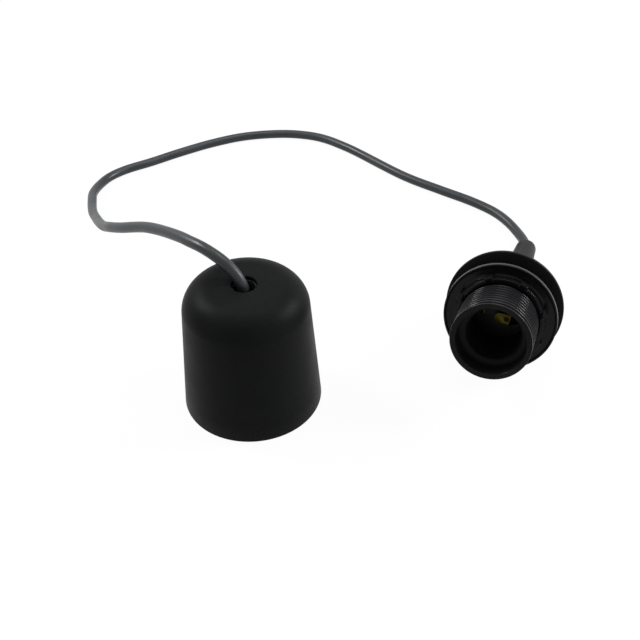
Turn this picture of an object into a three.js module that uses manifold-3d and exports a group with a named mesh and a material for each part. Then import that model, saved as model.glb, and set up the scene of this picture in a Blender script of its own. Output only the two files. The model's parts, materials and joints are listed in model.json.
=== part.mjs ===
// Pendant cord set: a ceiling canopy standing mouth down, a round two-core cord, and a lamp holder
// with a shade ring that lies on its flange and on the end of its cord sleeve. Millimetres, +Z up.
// The canopy's axis is x = 0, y = 0 while the set is built. The last lines centre the set.
import * as THREE from 'three';
import { mergeVertices } from 'three/addons/utils/BufferGeometryUtils.js';
import Module from 'manifold-3d';

const wasm = await Module();
wasm.setup();

const degrees = Math.PI / 180;

// Fits
const gap = 0.3; // between pieces that touch or pass through each other
const overcut = 1; // how far a cutting tool runs past the face it cuts
const weldDistance = 1e-4; // corners closer than this are one corner
const rodSides = 16;
const holeSides = 12;

// Slotted screws, as shares of the head's own size
const headShoulder = 0.6; // of its height, up to the chamfer
const headFlat = 0.75; // of its radius, inside the chamfer
const slotShare = 1 / 3; // the slot's width, of the head's radius
const shankChamfer = 1 / 3; // of the shank's radius

// Canopy cup
const cupHeight = 71;
const cupMouthRadius = 35;
const cupDraft = 4 * degrees;
const cupShoulderRadius = 14.5;
const cupWall = 2.2;
const cupHoleRadius = 6.25;
const cupHoleChamfer = 0.4;
const cupSides = 48;
const cupOuterSteps = 9;
const cupInnerSteps = 7;

// Cord clamp jaws in the cup's hole
const jawRecess = 1.8; // below the cup's top
const jawFlangeRadius = 11.5;
const jawFlangeHeight = 10.2;
const jawSplit = 1;
const jawFlareHeight = 6.6;
const jawLip = 0.6;
const jawScrewOffset = 7.6;
const jawScrewRadius = 1.25;
const jawScrewHeadRadius = 2.2;
const jawScrewHeadHeight = 1.6;
const jawHeadSeat = 5.4; // from the split to the screw heads' seat
const jawSides = 40;

// Hanger strap for the ceiling hook
const strapThickness = 1.5;
const strapWidth = 9;
const strapHalfSpan = 11;
const strapFoot = 6.5;
const strapLength = 48;
const strapScrewRadius = 1.25;
const strapScrewLength = 5;
const strapSteps = 16;

// Terminal block in the canopy
const blockCentreX = 19;
const blockTop = 31;
const blockHeight = 14;
const blockDepth = 12;
const blockRim = 2.4; // wall beside a brass tube
const tubeRadius = 2.6;
const tubeBore = 1.7;
const tubePitch = 8.6;
const tubeSink = 1; // ends of the brass below the block's faces
const blockScrewRadius = 1.2;
const blockScrewHeadRadius = 1.7;
const blockScrewSpacing = 6;
const tubeSides = 20;

// Cord
const cordRadius = 2.9;
const cordSides = 8;
const cordSteps = 76;
const coreRadius = 1.1;
const coreOffset = 1.25;
const coreSides = 8;
const coreSteps = 16;
const coreTurn = 4; // how far a core runs straight before it turns aside
const sheathEndInCup = 25; // below the cup's top

// Holder, along its own axis: 0 at the sleeve's end, holderLength at the lamp's mouth
const holderSides = 40;
const holderLength = 137.4;
const sleeveEndRadius = 5.95;
const sleeveEndRound = 2.4;
const sleeveEndSteps = 5;
const sleeveLength = 34;
const sleeveBaseRadius = 7.1;
const sleeveFlare = 1;
const sleeveFlareDepth = 8;
const bellRadius = 22.3;
const bellWall = 1.8;
const bellStop = 12.35; // from the bell's full width to the flange
const bellFirstPull = 0.5; // how far up the bell its curve leaves the sleeve's line
const bellLastPull = 0.6; // and meets the bell's own
const bellSteps = 9;
const cavityRadius = 14.5;
const cavityThroat = 22.5; // from its floor down to the cord's bore
const cavityTaper = 0.75; // of its radius, how far its middle lies below the floor
const flangeRadius = 30.35;
const flangeThickness = 2.2;
const flangeBack = 47.05; // its far face from the mouth
const flangeRound = 0.5;
const barrelRadius = 20.05; // over the crests of its thread
const barrelWall = 2.75;
const barrelSeat = 56; // its inner end from the mouth
const barrelRound = 0.45;
const ringThreadPitch = 3;
const ringThreadDepth = 1.1;
const ringThreadCrest = 0.5; // width of a crest
const ringThreadRoot = 0.9; // width of a root
const ringThreadFromFlange = 1.1;
const ringThreadFromMouth = 1.9;
const ringThreadSides = 32;
const threadTubeRadius = 13.35; // outside of the lamp cap's thread
const threadTubeWall = 1.75;
const threadTubeDepth = 9;
const threadTubeLength = 27;
const threadTubeChamfer = 1.1;
const webThickness = 2.1;

// Shade ring
const ringRadius = 28.8;
const ringRim = 2.5;
const ringLip = 1;
const ringWeb = 1.6;
const ringFront = 29.95; // its rim's front from the mouth
const ringHubWall = 2.35;
const ringHubRise = 4;
const lugCount = 8;
const lugFirst = 20 * degrees;
const lugWidth = 4;
const lugReach = 1.3;
const lugRise = 1;
const lugInset = 0.5;

// Contact block, contacts and terminals
const innerTurn = 6 * degrees;
const contactDiscHeight = 13.7;
const skirtWall = 1.7;
const contactThickness = 0.8;
const contactWidth = 5.6;
const contactHeadRise = 5.3;
const contactBend = 5; // where the tongue starts to slope down
const contactRoot = 9.2;
const contactHoleRadius = 1.2;
const contactHoleOffset = 3.6;
const contactSteps = 10;
const sideContactWidth = 4;
const sideContactRise = 3.7;
const sideContactLean = 2.4;
const legOffset = 10.6;
const legReach = 9.5;
const terminalOffset = 7.4;
const terminalWidth = 4.9;
const terminalDepth = 6;
const terminalHeight = 7.4;
const terminalBore = 1.5;
const terminalInset = 1.2;
const terminalScrewRadius = 1.2;
const terminalScrewHead = 2.1;
const terminalScrewHeadLength = 3;
const saddleWidth = 19;
const saddleThickness = 5.4;
const saddleReach = 16;
const barThickness = 4;
const barLength = 6;
const saddleScrewOffset = 6.6;
const saddleScrewRadius = 1.25;
const saddleScrewHeadRadius = 2.3;
const saddleScrewHeadHeight = 1.8;
const sheathPastBar = 1.2;

// Where the holder lies, seen from above: its sleeve's end, and its turn from the -Y direction
const sleeveEndPlace = [160, 112.3];
const holderTurn = 19 * degrees;

// The cord's middle line from the cup's hole to the sleeve, lying on the surface past its first arc
const cordRoute = [
  [-0.7, 0.6, 68.4], [-2.9, 2.1, 73.3], [-6.5, 4.6, 77.2], [-10.5, 7.5, 79.9], [-18.9, 14.4, 81.9],
  [-26.6, 22.3, 80.7], [-33.1, 30.7, 78], [-52.1, 54.9, 66.9], [-72.2, 77.4, 51.8], [-81, 90.2, 43.7],
  [-87.7, 104.3, 35], [-99, 135.7, 18.8], [-105, 152.8, 12.8], [-109, 171.3, 8.5], [-110.7, 184, 6.1],
  [-109, 196.8, 4], [-103.8, 208.5, 3.1], [-94.5, 217.2, 3], [-78.3, 226.4, 3], [-58, 238.9, 3],
  [-37.6, 249.8, 3], [-16.2, 257.8, 3], [6.2, 260.5, 3], [22.9, 259.1, 3], [39, 253.5, 3],
  [56.6, 239.8, 3], [95, 198.9, 3], [117.2, 181, 3], [135.4, 166.8, 3], [147.7, 154.2, 3],
  [153.8, 143.9, 3], [157.9, 132.8, 3.1], [160.2, 120.9, 4.1],
];

// Heights and stations worked out from the sizes above
const jawTop = cupHeight - jawRecess;
const jawFlangeTop = cupHeight - cupWall - gap;
const jawBottom = jawFlangeTop - jawFlangeHeight;
const jawScrewHeight = jawBottom + jawFlangeHeight / 2;
const strapHoleOffset = strapHalfSpan - strapThickness - strapFoot / 2;
const flangeStation = holderLength - flangeBack;
const flangeFront = flangeStation + flangeThickness;
const barrelEnd = holderLength - barrelSeat;
const ledge = barrelEnd - gap;
const webTop = holderLength - threadTubeDepth;
const threadTubeEnd = webTop - threadTubeLength;
const barrelBore = barrelRadius - barrelWall;
const bellTop = flangeStation - bellStop;
const contactDiscTop = threadTubeEnd - gap;
const contactDiscBottom = contactDiscTop - contactDiscHeight;
const sheathBar = contactDiscBottom - saddleReach;
const cavityFloor = sheathBar - gap;
const sheathEndInHolder = sheathBar + gap + barLength + sheathPastBar;

// A solid of revolution about Z. The outline is given as radius and height, anticlockwise.
function turned(outline, sides) {
  const points = outline.map(([radius, height]) => new THREE.Vector2(radius, height));
  return new THREE.LatheGeometry(points, sides).rotateX(Math.PI / 2);
}

function closed(outline) {
  return [...outline, outline[0]];
}

// Points on an arc of the radius and height plane
function arc(centreRadius, centreHeight, radius, from, to, steps) {
  const points = [];
  for (let i = 0; i <= steps; i += 1) {
    const angle = from + ((to - from) * i) / steps;
    points.push([centreRadius + radius * Math.cos(angle), centreHeight + radius * Math.sin(angle)]);
  }
  return points;
}

function rod(radius, from, to, sides = rodSides) {
  return turned([[0, from], [radius, from], [radius, to], [0, to]], sides);
}

function brick(sizeX, sizeY, sizeZ, x, y, z) {
  return new THREE.BoxGeometry(sizeX, sizeY, sizeZ).translate(x, y, z);
}

// A flat outline drawn in X and Z, with its thickness along Y about y = 0
function plateAlongY(points, thickness) {
  const shape = new THREE.Shape(points.map(([x, z]) => new THREE.Vector2(x, z)));
  const plate = new THREE.ExtrudeGeometry(shape, { depth: thickness, bevelEnabled: false });
  return plate.rotateX(Math.PI / 2).translate(0, thickness / 2, 0);
}

// Joins and cuts
function solidOf(geometry) {
  const bare = new THREE.BufferGeometry();
  bare.setAttribute('position', geometry.getAttribute('position').clone());
  if (geometry.index) bare.setIndex(geometry.index.clone());
  const merged = mergeVertices(bare, weldDistance);
  const corners = merged.index.array;
  const kept = [];
  for (let i = 0; i < corners.length; i += 3) {
    const [a, b, c] = [corners[i], corners[i + 1], corners[i + 2]];
    if (a !== b && b !== c && c !== a) kept.push(a, b, c);
  }
  const vertProperties = new Float32Array(merged.getAttribute('position').array);
  return new wasm.Manifold(new wasm.Mesh({ numProp: 3, vertProperties, triVerts: new Uint32Array(kept) }));
}

function geometryOf(solid) {
  const mesh = solid.getMesh();
  const geometry = new THREE.BufferGeometry();
  geometry.setAttribute('position', new THREE.BufferAttribute(mesh.vertProperties, 3));
  geometry.setIndex(new THREE.BufferAttribute(mesh.triVerts, 1));
  geometry.computeVertexNormals();
  return geometry;
}

function cut(body, ...tools) {
  return geometryOf(tools.reduce((left, tool) => left.subtract(solidOf(tool)), solidOf(body)));
}

function join(body, ...others) {
  return geometryOf(others.reduce((whole, other) => whole.add(solidOf(other)), solidOf(body)));
}

function common(body, other) {
  return geometryOf(solidOf(body).intersect(solidOf(other)));
}

// A slotted screw along Z: its head's underside is at z = 0 and its shank points to -Z
function screw(shankRadius, shankLength, headRadius, headHeight) {
  const chamfer = shankRadius * shankChamfer;
  const body = turned([
    [0, -shankLength], [shankRadius - chamfer, -shankLength], [shankRadius, chamfer - shankLength],
    [shankRadius, 0], [headRadius, 0], [headRadius, headHeight * headShoulder],
    [headRadius * headFlat, headHeight], [0, headHeight],
  ], holeSides);
  const slot = brick(headRadius * 2 + overcut, headRadius * slotShare, headHeight, 0, 0, headHeight);
  return cut(body, slot);
}

// A tube of round section along points
function tube(points, radius, sides, steps) {
  const curve = new THREE.CatmullRomCurve3(points.map((point) => new THREE.Vector3(...point)));
  const corners = [];
  for (let i = 0; i < sides; i += 1) {
    const angle = (2 * Math.PI * i) / sides;
    corners.push(new THREE.Vector2(radius * Math.cos(angle), radius * Math.sin(angle)));
  }
  const section = new THREE.Shape(corners);
  return new THREE.ExtrudeGeometry(section, { steps, bevelEnabled: false, extrudePath: curve });
}

// Materials
const blackPlastic = () => new THREE.MeshStandardMaterial({ color: 0x1b1d1c, roughness: 0.6 });
const glossBlack = () => new THREE.MeshStandardMaterial({ color: 0x0c0c0f, roughness: 0.35 });
const sheathBlack = () => new THREE.MeshStandardMaterial({ color: 0x24282b, roughness: 0.45 });
const palePlastic = () => new THREE.MeshStandardMaterial({ color: 0xe8e4d8, roughness: 0.5 });
const brass = () => new THREE.MeshStandardMaterial({ color: 0xb08d3c, roughness: 0.35, metalness: 1 });
const steel = () => new THREE.MeshStandardMaterial({ color: 0xa9acae, roughness: 0.35, metalness: 1 });
const brownCore = () => new THREE.MeshStandardMaterial({ color: 0x5a3420, roughness: 0.45 });
const blueCore = () => new THREE.MeshStandardMaterial({ color: 0x2458a0, roughness: 0.45 });

const set = new THREE.Group();
const canopy = new THREE.Group();
const holder = new THREE.Group();
const contacts = new THREE.Group();
set.add(canopy, holder);
holder.add(contacts);

function piece(parent, name, geometry, material) {
  const mesh = new THREE.Mesh(geometry, material);
  mesh.name = name;
  parent.add(mesh);
  return mesh;
}

// Canopy cup: one moulding with a drafted wall and a round shoulder, its inside offset by the wall
function cupGeometry() {
  const shoulderHeight = cupHeight - cupShoulderRadius;
  const tangentHeight = shoulderHeight + cupShoulderRadius * Math.sin(cupDraft);
  const tangentRadius = cupMouthRadius - tangentHeight * Math.tan(cupDraft);
  const shoulderCentre = tangentRadius - cupShoulderRadius * Math.cos(cupDraft);
  const quarter = Math.PI / 2;
  const outside = arc(shoulderCentre, shoulderHeight, cupShoulderRadius, cupDraft, quarter, cupOuterSteps);
  const innerRadius = cupShoulderRadius - cupWall;
  const inside = arc(shoulderCentre, shoulderHeight, innerRadius, quarter, cupDraft, cupInnerSteps);
  return turned(closed([
    [cupMouthRadius, 0],
    ...outside,
    [cupHoleRadius + cupHoleChamfer, cupHeight],
    [cupHoleRadius, cupHeight - cupHoleChamfer],
    [cupHoleRadius, cupHeight - cupWall],
    ...inside,
    [cupMouthRadius - cupWall / Math.cos(cupDraft), 0],
  ]), cupSides);
}
piece(canopy, 'canopy_cup', cupGeometry(), blackPlastic());

// The front jaw: half of a flanged bush with a flared bore. The rear jaw is the same piece turned round.
function jawGeometry() {
  const bore = cordRadius + gap;
  const neck = cupHoleRadius - gap;
  const bush = turned(closed([
    [bore, jawBottom], [jawFlangeRadius, jawBottom], [jawFlangeRadius, jawFlangeTop],
    [neck, jawFlangeTop], [neck, jawTop], [neck - jawLip, jawTop], [bore, jawTop - jawFlareHeight],
  ]), jawSides);
  const side = 2 * (jawFlangeRadius + overcut);
  const tall = jawTop - jawBottom + 2 * overcut;
  const otherHalf = brick(side, side, tall, 0, (side - jawSplit) / 2, (jawTop + jawBottom) / 2);
  const screwHole = jawScrewRadius + gap;
  const headHole = jawScrewHeadRadius + gap;
  const tools = [otherHalf];
  for (const sign of [-1, 1]) {
    const x = sign * jawScrewOffset;
    tools.push(rod(screwHole, -side, side).rotateX(Math.PI / 2).translate(x, 0, jawScrewHeight));
    tools.push(rod(headHole, jawHeadSeat, side).rotateX(Math.PI / 2).translate(x, 0, jawScrewHeight));
  }
  const strapHole = rod(strapScrewRadius + gap, jawBottom - overcut, jawBottom + strapScrewLength);
  return cut(bush, ...tools, strapHole.translate(0, -strapHoleOffset, 0));
}
for (const [name, turn] of [['jaw_front', 0], ['jaw_rear', Math.PI]]) {
  piece(canopy, name, jawGeometry(), blackPlastic()).rotation.z = turn;
}

// Screws that pull the jaws together, their heads in the front jaw
for (const [name, sign] of [['jaw_screw_left', -1], ['jaw_screw_right', 1]]) {
  const length = 2 * jawHeadSeat - gap;
  const geometry = screw(jawScrewRadius, length, jawScrewHeadRadius, jawScrewHeadHeight);
  geometry.rotateX(Math.PI / 2).translate(sign * jawScrewOffset, -jawHeadSeat - gap, jawScrewHeight);
  piece(canopy, name, geometry, steel());
}

// Hanger strap: a bent steel strip whose feet lie under the jaws
function strapGeometry() {
  const top = jawBottom - gap;
  const bend = strapHalfSpan;
  const bendHeight = top - strapLength + bend;
  const footEnd = strapHalfSpan - strapThickness - strapFoot;
  const outline = [
    [-footEnd, top], [-strapHalfSpan, top],
    ...arc(0, bendHeight, bend, Math.PI, 2 * Math.PI, strapSteps),
    [strapHalfSpan, top], [footEnd, top], [footEnd, top - strapThickness],
    [strapHalfSpan - strapThickness, top - strapThickness],
    ...arc(0, bendHeight, bend - strapThickness, 2 * Math.PI, Math.PI, strapSteps),
    [strapThickness - strapHalfSpan, top - strapThickness], [-footEnd, top - strapThickness],
  ];
  const strip = plateAlongY(outline, strapWidth).rotateZ(Math.PI / 2);
  const holes = [-1, 1].map((sign) => (
    rod(strapScrewRadius + gap, top - strapLength / 2, top + overcut)
      .translate(0, sign * strapHoleOffset, 0)
  ));
  return cut(strip, ...holes);
}
piece(canopy, 'hanger_strap', strapGeometry(), steel());
for (const [name, sign] of [['hanger_screw_front', -1], ['hanger_screw_rear', 1]]) {
  const length = strapScrewLength + strapThickness - gap;
  const geometry = screw(strapScrewRadius, length, jawScrewHeadRadius, jawScrewHeadHeight);
  const seat = jawBottom - gap - strapThickness - gap;
  geometry.rotateX(Math.PI).translate(0, sign * strapHoleOffset, seat);
  piece(canopy, name, geometry, steel());
}

// Terminal block: a pale moulding with a brass tube for each core, held by two screws a tube
const blockWidth = tubePitch + 2 * (tubeRadius + gap + blockRim);
const blockMiddle = blockTop - blockHeight / 2;
const blockFace = blockCentreX + blockDepth / 2;
const blockScrewTip = blockCentreX + coreRadius + gap;
function blockScrewHeights() {
  return [blockMiddle - blockScrewSpacing / 2, blockMiddle + blockScrewSpacing / 2];
}
function terminalBlockGeometry() {
  const tools = [];
  for (const sign of [-1, 1]) {
    const y = (sign * tubePitch) / 2;
    const channel = rod(tubeRadius + gap, blockTop - blockHeight - overcut, blockTop + overcut, tubeSides);
    tools.push(channel.translate(blockCentreX, y, 0));
    for (const height of blockScrewHeights()) {
      const well = rod(blockScrewHeadRadius + gap, blockCentreX, blockFace + overcut, holeSides);
      tools.push(well.rotateY(Math.PI / 2).translate(0, y, height));
    }
  }
  const body = brick(blockDepth, blockWidth, blockHeight, blockCentreX, 0, blockMiddle);
  return cut(body, ...tools);
}
piece(canopy, 'terminal_block', terminalBlockGeometry(), palePlastic());

function terminalTubeGeometry(y) {
  const low = blockTop - blockHeight + tubeSink;
  const high = blockTop - tubeSink;
  const sleeve = turned(closed([
    [tubeBore, low], [tubeRadius, low], [tubeRadius, high], [tubeBore, high],
  ]), tubeSides);
  const holes = blockScrewHeights().map((height) => (
    rod(blockScrewRadius + gap, 0, tubeRadius + overcut, holeSides)
      .rotateY(Math.PI / 2)
      .translate(0, 0, height)
  ));
  return cut(sleeve, ...holes).translate(blockCentreX, y, 0);
}
for (const [pole, sign] of [['live', -1], ['neutral', 1]]) {
  const y = (sign * tubePitch) / 2;
  piece(canopy, `terminal_tube_${pole}`, terminalTubeGeometry(y), brass());
  blockScrewHeights().forEach((height, row) => {
    const seat = blockCentreX + tubeRadius + gap;
    const geometry = screw(blockScrewRadius, seat - blockScrewTip, blockScrewHeadRadius, blockFace - seat);
    geometry.rotateY(Math.PI / 2).translate(seat, y, height);
    piece(canopy, `terminal_screw_${pole}_${row + 1}`, geometry, steel());
  });
}

// The cores inside the canopy, from the sheath's end to the block's tubes
const sheathEndHeight = cupHeight - sheathEndInCup;
for (const [pole, sign, material] of [['live', -1, brownCore()], ['neutral', 1, blueCore()]]) {
  const y = (sign * tubePitch) / 2;
  const start = sheathEndHeight - gap;
  const route = [
    [0, sign * coreOffset, start],
    [coreTurn / 4, sign * coreOffset, start - coreTurn],
    [blockCentreX / 2, (y + sign * coreOffset) / 2, (start + blockTop) / 2],
    [blockCentreX, y, blockTop + coreTurn],
    [blockCentreX, y, blockTop],
    [blockCentreX, y, blockMiddle],
  ];
  piece(canopy, `canopy_core_${pole}`, tube(route, coreRadius, coreSides, coreSteps), material);
}

// Holder cap: a long tapered cord sleeve that opens into a bell with a wide flange
function capGeometry() {
  const bore = cordRadius + gap;
  const barrelHole = barrelRadius + gap;
  const bellLength = bellTop - sleeveLength;
  const bell = new THREE.CubicBezierCurve(
    new THREE.Vector2(sleeveBaseRadius, sleeveLength),
    new THREE.Vector2(sleeveBaseRadius + bellWall, sleeveLength + bellLength * bellFirstPull),
    new THREE.Vector2(bellRadius, sleeveLength + bellLength * bellLastPull),
    new THREE.Vector2(bellRadius, bellTop),
  );
  const tip = sleeveEndRadius - sleeveEndRound;
  const mouth = Math.acos((bore + sleeveFlare - tip) / sleeveEndRound);
  const rim = flangeRadius - flangeRound;
  return turned(closed([
    ...arc(tip, sleeveEndRound, sleeveEndRound, -mouth, 0, sleeveEndSteps),
    ...bell.getPoints(bellSteps).map((point) => [point.x, point.y]),
    [bellRadius, flangeStation],
    [rim, flangeStation], [flangeRadius, flangeStation + flangeRound],
    [flangeRadius, flangeFront - flangeRound], [rim, flangeFront],
    [barrelHole, flangeFront], [barrelHole, ledge], [cavityRadius, ledge], [cavityRadius, cavityFloor],
    [(cavityRadius + bore) / 2, cavityFloor - cavityRadius * cavityTaper],
    [bore, cavityFloor - cavityThroat],
    [bore, sleeveFlareDepth],
  ]), holderSides);
}
piece(holder, 'holder_cap', capGeometry(), glossBlack());

// The shade ring's thread: one closed ridge that winds round Z, right-handed
function ringThreadGeometry(from, to) {
  const crestHalf = ringThreadCrest / 2;
  const baseHalf = (ringThreadPitch - ringThreadRoot) / 2;
  const sunk = barrelRadius - ringThreadDepth - gap;
  const section = [
    [sunk, -baseHalf], [barrelRadius, -crestHalf], [barrelRadius, crestHalf], [sunk, baseHalf],
  ];
  const steps = Math.round(((to - from) / ringThreadPitch) * ringThreadSides);
  const places = [];
  for (let i = 0; i <= steps; i += 1) {
    const angle = (2 * Math.PI * i) / ringThreadSides;
    const height = from + (ringThreadPitch * i) / ringThreadSides;
    for (const [radius, offset] of section) {
      places.push(radius * Math.cos(angle), radius * Math.sin(angle), height + offset);
    }
  }
  const last = 4 * steps;
  const corners = [0, 1, 2, 0, 2, 3, last, last + 2, last + 1, last, last + 3, last + 2];
  for (let first = 0; first < last; first += 4) {
    for (let side = 0; side < 4; side += 1) {
      const [a, b] = [first + side, first + ((side + 1) % 4)];
      corners.push(a, b + 4, b, a, a + 4, b + 4);
    }
  }
  const ridge = new THREE.BufferGeometry();
  ridge.setAttribute('position', new THREE.Float32BufferAttribute(places, 3));
  ridge.setIndex(corners);
  return ridge;
}

// Holder barrel: an outer tube for the shade ring, and inside it a web and the tube of the lamp's thread
function barrelGeometry() {
  const tubeOutside = threadTubeRadius + threadTubeWall;
  const webBottom = webTop - webThickness;
  const root = barrelRadius - ringThreadDepth;
  const threadLow = flangeFront + ringThreadFromFlange;
  const threadHigh = holderLength - ringThreadFromMouth;
  const body = turned(closed([
    [barrelBore, barrelEnd], [barrelRadius, barrelEnd],
    [barrelRadius, threadLow], [root, threadLow + ringThreadDepth],
    [root, threadHigh - ringThreadDepth], [barrelRadius, threadHigh],
    [barrelRadius, holderLength - barrelRound], [barrelRadius - barrelRound, holderLength],
    [barrelBore + barrelRound, holderLength], [barrelBore, holderLength - barrelRound],
    [barrelBore, webTop], [threadTubeRadius + threadTubeChamfer, webTop],
    [threadTubeRadius, webTop - threadTubeChamfer], [threadTubeRadius, threadTubeEnd],
    [tubeOutside, threadTubeEnd], [tubeOutside, webBottom], [barrelBore, webBottom],
  ]), ringThreadSides);
  return join(body, ringThreadGeometry(threadLow, threadHigh));
}
piece(holder, 'holder_barrel', barrelGeometry(), glossBlack());

// Shade ring: a rimmed disc with a hub and raised grip lugs
function shadeRingGeometry() {
  const rimFront = holderLength - ringFront;
  const back = rimFront - ringRim;
  const hubFront = rimFront + ringHubRise;
  const bore = barrelRadius + gap;
  const hubRadius = bore + ringHubWall;
  const disc = turned(closed([
    [bore, back], [ringRadius, back], [ringRadius, rimFront], [ringRadius - ringLip, rimFront],
    [ringRadius - ringLip, back + ringWeb], [hubRadius, back + ringWeb], [hubRadius, hubFront],
    [bore, hubFront],
  ]), holderSides);
  const inner = bore + lugInset;
  const outer = hubRadius + lugReach;
  const low = back + ringWeb / 2;
  const high = hubFront + lugRise;
  const lugs = [];
  for (let i = 0; i < lugCount; i += 1) {
    const lug = brick(outer - inner, lugWidth, high - low, (outer + inner) / 2, 0, (high + low) / 2);
    lugs.push(lug.rotateZ(lugFirst + (2 * Math.PI * i) / lugCount));
  }
  return join(disc, ...lugs);
}
piece(holder, 'shade_ring', shadeRingGeometry(), glossBlack());

// Contact block: a disc with a skirt that stands on the cap's ledge, two chambers for the terminals
// and a saddle for the cord behind it
const terminalLow = contactDiscBottom + terminalInset;
const terminalMiddle = terminalLow + terminalHeight / 2;
const legThickness = contactThickness + 2 * gap;
const saddleTop = -cordRadius - gap;
const barLow = sheathBar + gap;
const barMiddle = barLow + barLength / 2;
function contactBlockGeometry() {
  const outside = barrelBore - gap;
  const body = turned([
    [0, contactDiscBottom], [outside - skirtWall, contactDiscBottom], [outside - skirtWall, barrelEnd],
    [outside, barrelEnd], [outside, contactDiscTop], [0, contactDiscTop],
  ], holderSides);
  const saddleY = saddleTop - saddleThickness / 2;
  const saddleHeight = saddleReach + overcut;
  const saddleMiddle = contactDiscBottom - saddleReach + saddleHeight / 2;
  const saddle = brick(saddleWidth, saddleThickness, saddleHeight, 0, saddleY, saddleMiddle);
  const tools = [];
  for (const sign of [-1, 1]) {
    const chamberInner = terminalOffset - terminalWidth / 2 - gap;
    const chamberOuter = legOffset + legThickness / 2;
    const chamberWidth = chamberOuter - chamberInner;
    const chamberTop = terminalLow + terminalHeight + gap;
    const chamberLow = contactDiscBottom - overcut;
    const chamberX = (sign * (chamberInner + chamberOuter)) / 2;
    const chamberDepth = terminalDepth + 2 * gap;
    const chamberTall = chamberTop - chamberLow;
    const chamberZ = (chamberTop + chamberLow) / 2;
    tools.push(brick(chamberWidth, chamberDepth, chamberTall, chamberX, 0, chamberZ));
    const slotTall = contactDiscTop - chamberTop + 2 * overcut;
    const slotZ = (contactDiscTop + chamberTop) / 2;
    const slotWidth = (sign > 0 ? contactWidth : sideContactWidth) + 2 * gap;
    tools.push(brick(legThickness, slotWidth, slotTall, sign * legOffset, 0, slotZ));
    const well = rod(terminalScrewHead + gap, 0, outside + overcut, holeSides).rotateX(-Math.PI / 2);
    tools.push(well.translate(sign * terminalOffset, 0, terminalMiddle));
    const holeEnd = saddleTop - saddleThickness - overcut;
    const hole = rod(saddleScrewRadius + gap, holeEnd, overcut, holeSides);
    tools.push(hole.rotateX(-Math.PI / 2).translate(sign * saddleScrewOffset, 0, barMiddle));
  }
  return cut(join(body, saddle), ...tools);
}
piece(contacts, 'contact_block', contactBlockGeometry(), palePlastic());

// Contacts: bent brass strips with a leg that passes down beside its terminal
const stripLow = contactDiscTop + gap;
const legEnd = contactDiscTop - legReach;
const half = contactThickness / 2;
function centreContactGeometry() {
  const head = contactWidth / 2;
  const high = stripLow + contactHeadRise;
  const side = plateAlongY([
    [-head, high], [contactBend, high], [contactRoot, stripLow], [legOffset - half, stripLow],
    [legOffset - half, legEnd], [legOffset + half, legEnd],
    [legOffset + half, stripLow + contactThickness],
    [contactRoot + contactThickness, stripLow + contactThickness],
    [contactBend + half, high + contactThickness], [-head, high + contactThickness],
  ], contactWidth);
  const plan = new THREE.Shape();
  plan.absarc(0, 0, head, Math.PI / 2, 1.5 * Math.PI, false);
  plan.lineTo(legOffset + overcut, -head);
  plan.lineTo(legOffset + overcut, head);
  const depth = high - legEnd + 2 * overcut;
  const options = { depth, bevelEnabled: false, curveSegments: contactSteps };
  const tongue = new THREE.ExtrudeGeometry(plan, options);
  const hole = rod(contactHoleRadius, legEnd, high + overcut).translate(contactHoleOffset, 0, 0);
  return cut(common(side, tongue.translate(0, 0, legEnd - overcut)), hole);
}
piece(contacts, 'centre_contact', centreContactGeometry(), brass());

function sideContactGeometry() {
  const high = stripLow + sideContactRise;
  const tip = legOffset - sideContactLean;
  return plateAlongY([
    [-tip, high], [-tip - contactThickness, high], [-legOffset - half, stripLow],
    [-legOffset - half, legEnd], [-legOffset + half, legEnd], [-legOffset + half, stripLow],
  ], sideContactWidth);
}
piece(contacts, 'side_contact', sideContactGeometry(), brass());

// Terminals with their screws
for (const [name, sign] of [['centre', 1], ['side', -1]]) {
  const x = sign * terminalOffset;
  const box = brick(terminalWidth, terminalDepth, terminalHeight, x, 0, terminalMiddle);
  const terminalHigh = terminalLow + terminalHeight;
  const bore = rod(terminalBore, terminalLow - overcut, terminalHigh + overcut, holeSides);
  const tapped = rod(terminalScrewRadius + gap, 0, terminalDepth, holeSides).rotateX(-Math.PI / 2);
  const geometry = cut(box, bore.translate(x, 0, 0), tapped.translate(x, 0, terminalMiddle));
  piece(contacts, `${name}_terminal`, geometry, brass());
  const seat = terminalDepth / 2 + gap;
  const length = seat - coreRadius - gap;
  const clamp = screw(terminalScrewRadius, length, terminalScrewHead, terminalScrewHeadLength);
  clamp.rotateX(-Math.PI / 2).translate(x, seat, terminalMiddle);
  piece(contacts, `${name}_terminal_screw`, clamp, steel());
}

// The bar that clamps the sheath on the saddle, and its screws
const barBottom = cordRadius + gap;
const barMiddleY = barBottom + barThickness / 2;
const barHoles = [-1, 1].map((sign) => (
  rod(saddleScrewRadius + gap, 0, barBottom + barThickness + overcut, holeSides)
    .rotateX(-Math.PI / 2)
    .translate(sign * saddleScrewOffset, 0, barMiddle)
));
const barBody = brick(saddleWidth, barThickness, barLength, 0, barMiddleY, barMiddle);
piece(contacts, 'saddle_bar', cut(barBody, ...barHoles), palePlastic());
for (const [name, sign] of [['saddle_screw_left', -1], ['saddle_screw_right', 1]]) {
  const seat = barBottom + barThickness + gap;
  const length = seat + cordRadius + saddleThickness / 2;
  const geometry = screw(saddleScrewRadius, length, saddleScrewHeadRadius, saddleScrewHeadHeight);
  geometry.rotateX(-Math.PI / 2).translate(sign * saddleScrewOffset, seat, barMiddle);
  piece(contacts, name, geometry, steel());
}

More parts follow.
